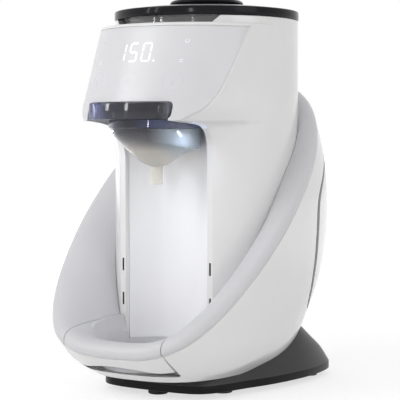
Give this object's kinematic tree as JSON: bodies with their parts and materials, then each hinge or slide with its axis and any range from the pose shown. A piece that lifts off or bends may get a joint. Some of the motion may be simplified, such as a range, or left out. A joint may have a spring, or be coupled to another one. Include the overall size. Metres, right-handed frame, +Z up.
{
  "type": "bottle warmer",
  "caption": "Round tower that warms water and mixes formula for a feeding bottle, with a touch display head, pull-out mixing funnel and drip tray, powder container and rear water tank.",
  "frame": {"origin": "middle of the footprint box, on the surface that the feet stand on", "axes": "+Z up, the display and bay face -Y, +X is to the right seen along +Y from the front"},
  "size_m": [0.2128, 0.269, 0.3418],
  "materials": {
    "white_gloss": "glossy moulded white",
    "satin_grey": "satin light grey",
    "mat_grey": "matt grey",
    "black_gloss": "glossy black",
    "foot_rubber": "matt black rubber",
    "smoked_plastic": "smoked, see-through",
    "clear_plastic": "clear, slightly grey",
    "tank_plastic": "smoky grey, see-through",
    "lamp_lens": "milky lens",
    "steel": "bright steel",
    "cast_alloy": "cast alloy",
    "brass": "machined brass",
    "board_green": "green circuit board",
    "inner_white": "plain moulded off-white",
    "silicone": "milky silicone"
  },
  "bodies": {
    "housing": {"tower_housing": "white_gloss", "bay_liner": "white_gloss", "front_panel": "white_gloss", "outer_shell": "white_gloss", "rim_band": "satin_grey", "base_plate": "black_gloss", "power_inlet": "black_gloss", "foot_front": "foot_rubber", "foot_left": "foot_rubber", "foot_right": "foot_rubber", "foot_rear_left": "foot_rubber", "foot_rear_right": "foot_rubber", "night_light_left": "lamp_lens", "night_light_right": "lamp_lens", "base_screw_1": "steel", "base_screw_2": "steel", "base_screw_3": "steel", "base_screw_4": "steel", "service_frame": "steel", "dosing_motor": "steel", "water_pump": "steel", "heater_clamp_lower": "steel", "heater_clamp_upper": "steel", "flow_heater": "cast_alloy", "control_board": "board_green", "touch_board": "board_green", "chassis": "inner_white", "tank_shelf_left": "inner_white", "tank_shelf_right": "inner_white", "mechanism_deck": "inner_white", "power_supply": "inner_white", "display_module": "inner_white", "water_nozzle": "silicone", "valve_socket": "silicone", "hose_tank_pump": "silicone", "hose_pump_heater": "silicone", "hose_heater_nozzle": "silicone"},
    "drip_tray": {"drip_tray": "satin_grey", "tray_mat": "mat_grey", "tray_lip": "white_gloss"},
    "mixing_head": {"mixing_cap": "smoked_plastic", "mixing_collar": "smoked_plastic", "mixing_funnel": "clear_plastic"},
    "container": {"powder_container": "clear_plastic", "dosing_cup": "inner_white"},
    "lid": {"lid": "black_gloss", "lid_knob": "black_gloss", "lid_seal": "silicone"},
    "dosing_rotor": {"dosing_wheel": "inner_white", "stirrer": "inner_white"},
    "pinion": {"motor_pinion": "brass"},
    "tank": {"water_tank": "tank_plastic", "tank_cover": "white_gloss", "tank_lid": "tank_plastic", "tank_valve": "silicone"},
    "filler_flap": {"tank_filler_flap": "tank_plastic"}
  },
  "joints": [
    {"name": "tray_slide", "type": "slide", "parent": "housing", "child": "drip_tray", "axis": [0, -1, 0], "range_m": [0, 0.12]},
    {"name": "mixing_head_slide", "type": "slide", "parent": "housing", "child": "mixing_head", "axis": [0, -1, 0], "range_m": [0, 0.105]},
    {"name": "container_lift", "type": "slide", "parent": "housing", "child": "container", "axis": [0, 0, 1], "range_m": [0, 0.09]},
    {"name": "lid_lift", "type": "slide", "parent": "container", "child": "lid", "axis": [0, 0, 1], "range_m": [0, 0.06]},
    {"name": "dosing_wheel_spin", "type": "hinge", "parent": "container", "child": "dosing_rotor", "pos_m": [0, -0.00831, 0.2617], "axis": [0, 0, 1], "continuous": true},
    {"name": "pinion_spin", "type": "hinge", "parent": "housing", "child": "pinion", "pos_m": [0, 0.03307, 0.25], "axis": [0, 0, 1], "continuous": true},
    {"name": "tank_slide", "type": "slide", "parent": "housing", "child": "tank", "axis": [0, 1, 0], "range_m": [0, 0.13]},
    {"name": "filler_flap_hinge", "type": "hinge", "parent": "tank", "child": "filler_flap", "pos_m": [0, 0.10769, 0.2077], "axis": [1, 0, 0], "range_deg": [0, 60]}
  ],
  "couplings": [
    {"joint": "pinion_spin", "follows": "dosing_wheel_spin", "ratio": -3.1111}
  ]
}
